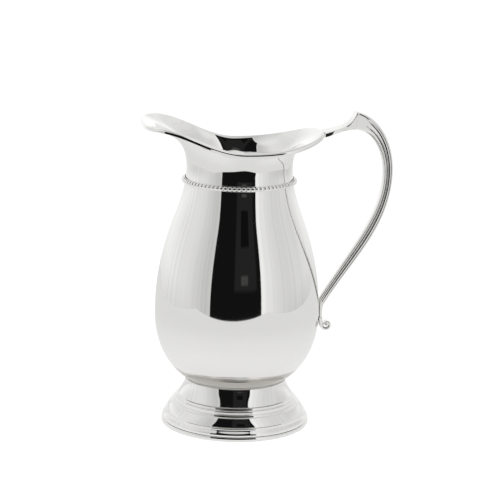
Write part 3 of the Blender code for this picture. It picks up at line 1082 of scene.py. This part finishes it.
world = bpy.data.worlds.new("studio")
bpy.context.scene.world = world
world.use_nodes = True
w = Nodes(world.node_tree)
background = world.node_tree.nodes["Background"]
way = w.add("ShaderNodeTexCoord").outputs["Generated"]
turn = w.add("ShaderNodeVectorRotate", rotation_type="Z_AXIS")
turn.inputs["Angle"].default_value = -AZIMUTH
w.link(way, turn.inputs["Vector"])
split = w.add("ShaderNodeSeparateXYZ")
w.link(turn.outputs[0], split.inputs[0])
x, y, z = split.outputs
azimuth = w.math("ARCTAN2", x, w.math("MULTIPLY", y, -1.0))
share = w.math("MULTIPLY_ADD", azimuth, 1 / (2 * math.pi))
share.node.inputs[2].default_value = 0.5


def dimmed(amount, *factors):
    """1 less the amount times all the factors."""
    product = factors[0]
    for factor in factors[1:]:
        product = w.math("MULTIPLY", product, factor)
    return w.math("SUBTRACT", 1.0, w.math("MULTIPLY", product, amount))


def fade_in(value, start, steepness):
    """0 below start, rising to 1 at this steepness."""
    return w.math("MULTIPLY", w.math("SUBTRACT", value, start), steepness, clamp=True)


def fade_out(value, end, steepness):
    """0 above end, rising to 1 below it at this steepness."""
    return w.math("MULTIPLY", w.math("SUBTRACT", end, value), steepness, clamp=True)


def mixed(fac, low, high):
    """The colour low where fac is 0 and high where it is 1."""
    node = w.add("ShaderNodeMix", data_type="RGBA")
    for socket, value in zip((node.inputs[0], node.inputs[6], node.inputs[7]), (fac, low, high)):
        w.link(value, socket)
    return node.outputs[2]


# the cloth walls: bright behind the pitcher, with faint upright folds
walls = w.ramp(share, [(0.5 + degrees / 360, grey(level)) for degrees, level in WALL_LEVELS])
folds = w.add("ShaderNodeTexNoise", Scale=1.0, Detail=3.0, Roughness=0.6)
folds.noise_dimensions = "1D"
w.link(w.math("MULTIPLY", share, FOLDS), folds.inputs["W"])
streaks = w.ramp(folds.outputs["Fac"], [(0.3, grey(1 - FOLD_DEPTH)), (0.7, grey(1 + FOLD_DEPTH))])
behind = w.math("MULTIPLY", y, 1.6, clamp=True)
high_behind = dimmed(BACK_DIMMED, behind, fade_in(z, 0.10, 4.0))
aside = fade_in(w.math("ABSOLUTE", azimuth), math.radians(62), 1.1)
low_aside = dimmed(LOW_DIMMED, fade_out(z, -0.02, 5.5), aside)
walls_lit = w.add("ShaderNodeMix", data_type="RGBA", blend_type="MULTIPLY")
walls_lit.inputs[0].default_value = 1.0
w.link(walls, walls_lit.inputs[6])
w.link(w.math("MULTIPLY", streaks, w.math("MULTIPLY", high_behind, low_aside)), walls_lit.inputs[7])

# the top of the booth: dimmer straight above the opening than at its sides
ceiling = w.ramp(w.math("ABSOLUTE", x), [(0.05, grey(0.55)), (0.55, grey(0.82))])
overhead = w.ramp(z, [(0.0, grey(0)), (0.66, grey(0)), (0.82, grey(1))])
booth = mixed(overhead, walls_lit.outputs[2], ceiling)

# the open front of the booth, a little narrower towards its top
half_wide = w.ramp(z, [(0.40, grey(OPENING_HALF_LOW / 90)), (0.77, grey(OPENING_HALF_HIGH / 90))])
offset = w.math("ABSOLUTE", w.math("SUBTRACT", azimuth, OPENING_MID))
past_side = w.math("SUBTRACT", w.math("MULTIPLY", half_wide, math.pi / 2), offset)
inside = w.math("MULTIPLY", past_side, OPENING_EDGE, clamp=True)
opening = w.math("MULTIPLY", inside, fade_out(z, OPENING_TOP, OPENING_EDGE))


def box(az_low, az_high, z_low, z_high, soft):
    """1 inside a rectangle of directions, falling to 0 over the soft share of a radian."""
    product = fade_in(azimuth, math.radians(az_low), 1 / soft)
    product = w.math("MULTIPLY", product, fade_out(azimuth, math.radians(az_high), 1 / soft))
    product = w.math("MULTIPLY", product, fade_in(z, z_low, 1 / soft))
    return w.math("MULTIPLY", product, fade_out(z, z_high, 1 / soft))


# the unlit room behind the camera: almost black, with a dim wall and two patches on it
dim_wall = box(-5, 29, 0.04, 0.80, 0.04)
light_patch = box(5, 16, 0.10, 0.20, 0.02)
dark_patch = box(4, 19, 0.385, 0.6, 0.02)
room = w.math("MULTIPLY_ADD", dim_wall, ROOM_GREY)
room.node.inputs[2].default_value = ROOM_BLACK
room = w.math("ADD", room, w.math("MULTIPLY", light_patch, LIGHT_PATCH))
room = w.math("MULTIPLY", room, dimmed(DARK_PATCH, dark_patch))
w.link(mixed(opening, booth, room), background.inputs["Color"])
background.inputs["Strength"].default_value = 1.0

# ------------------------------------------------------------------ colours as they are
view = bpy.context.scene.view_settings
view.view_transform = "Standard"
view.look = "None"
view.exposure = 0.0
view.gamma = 1.0
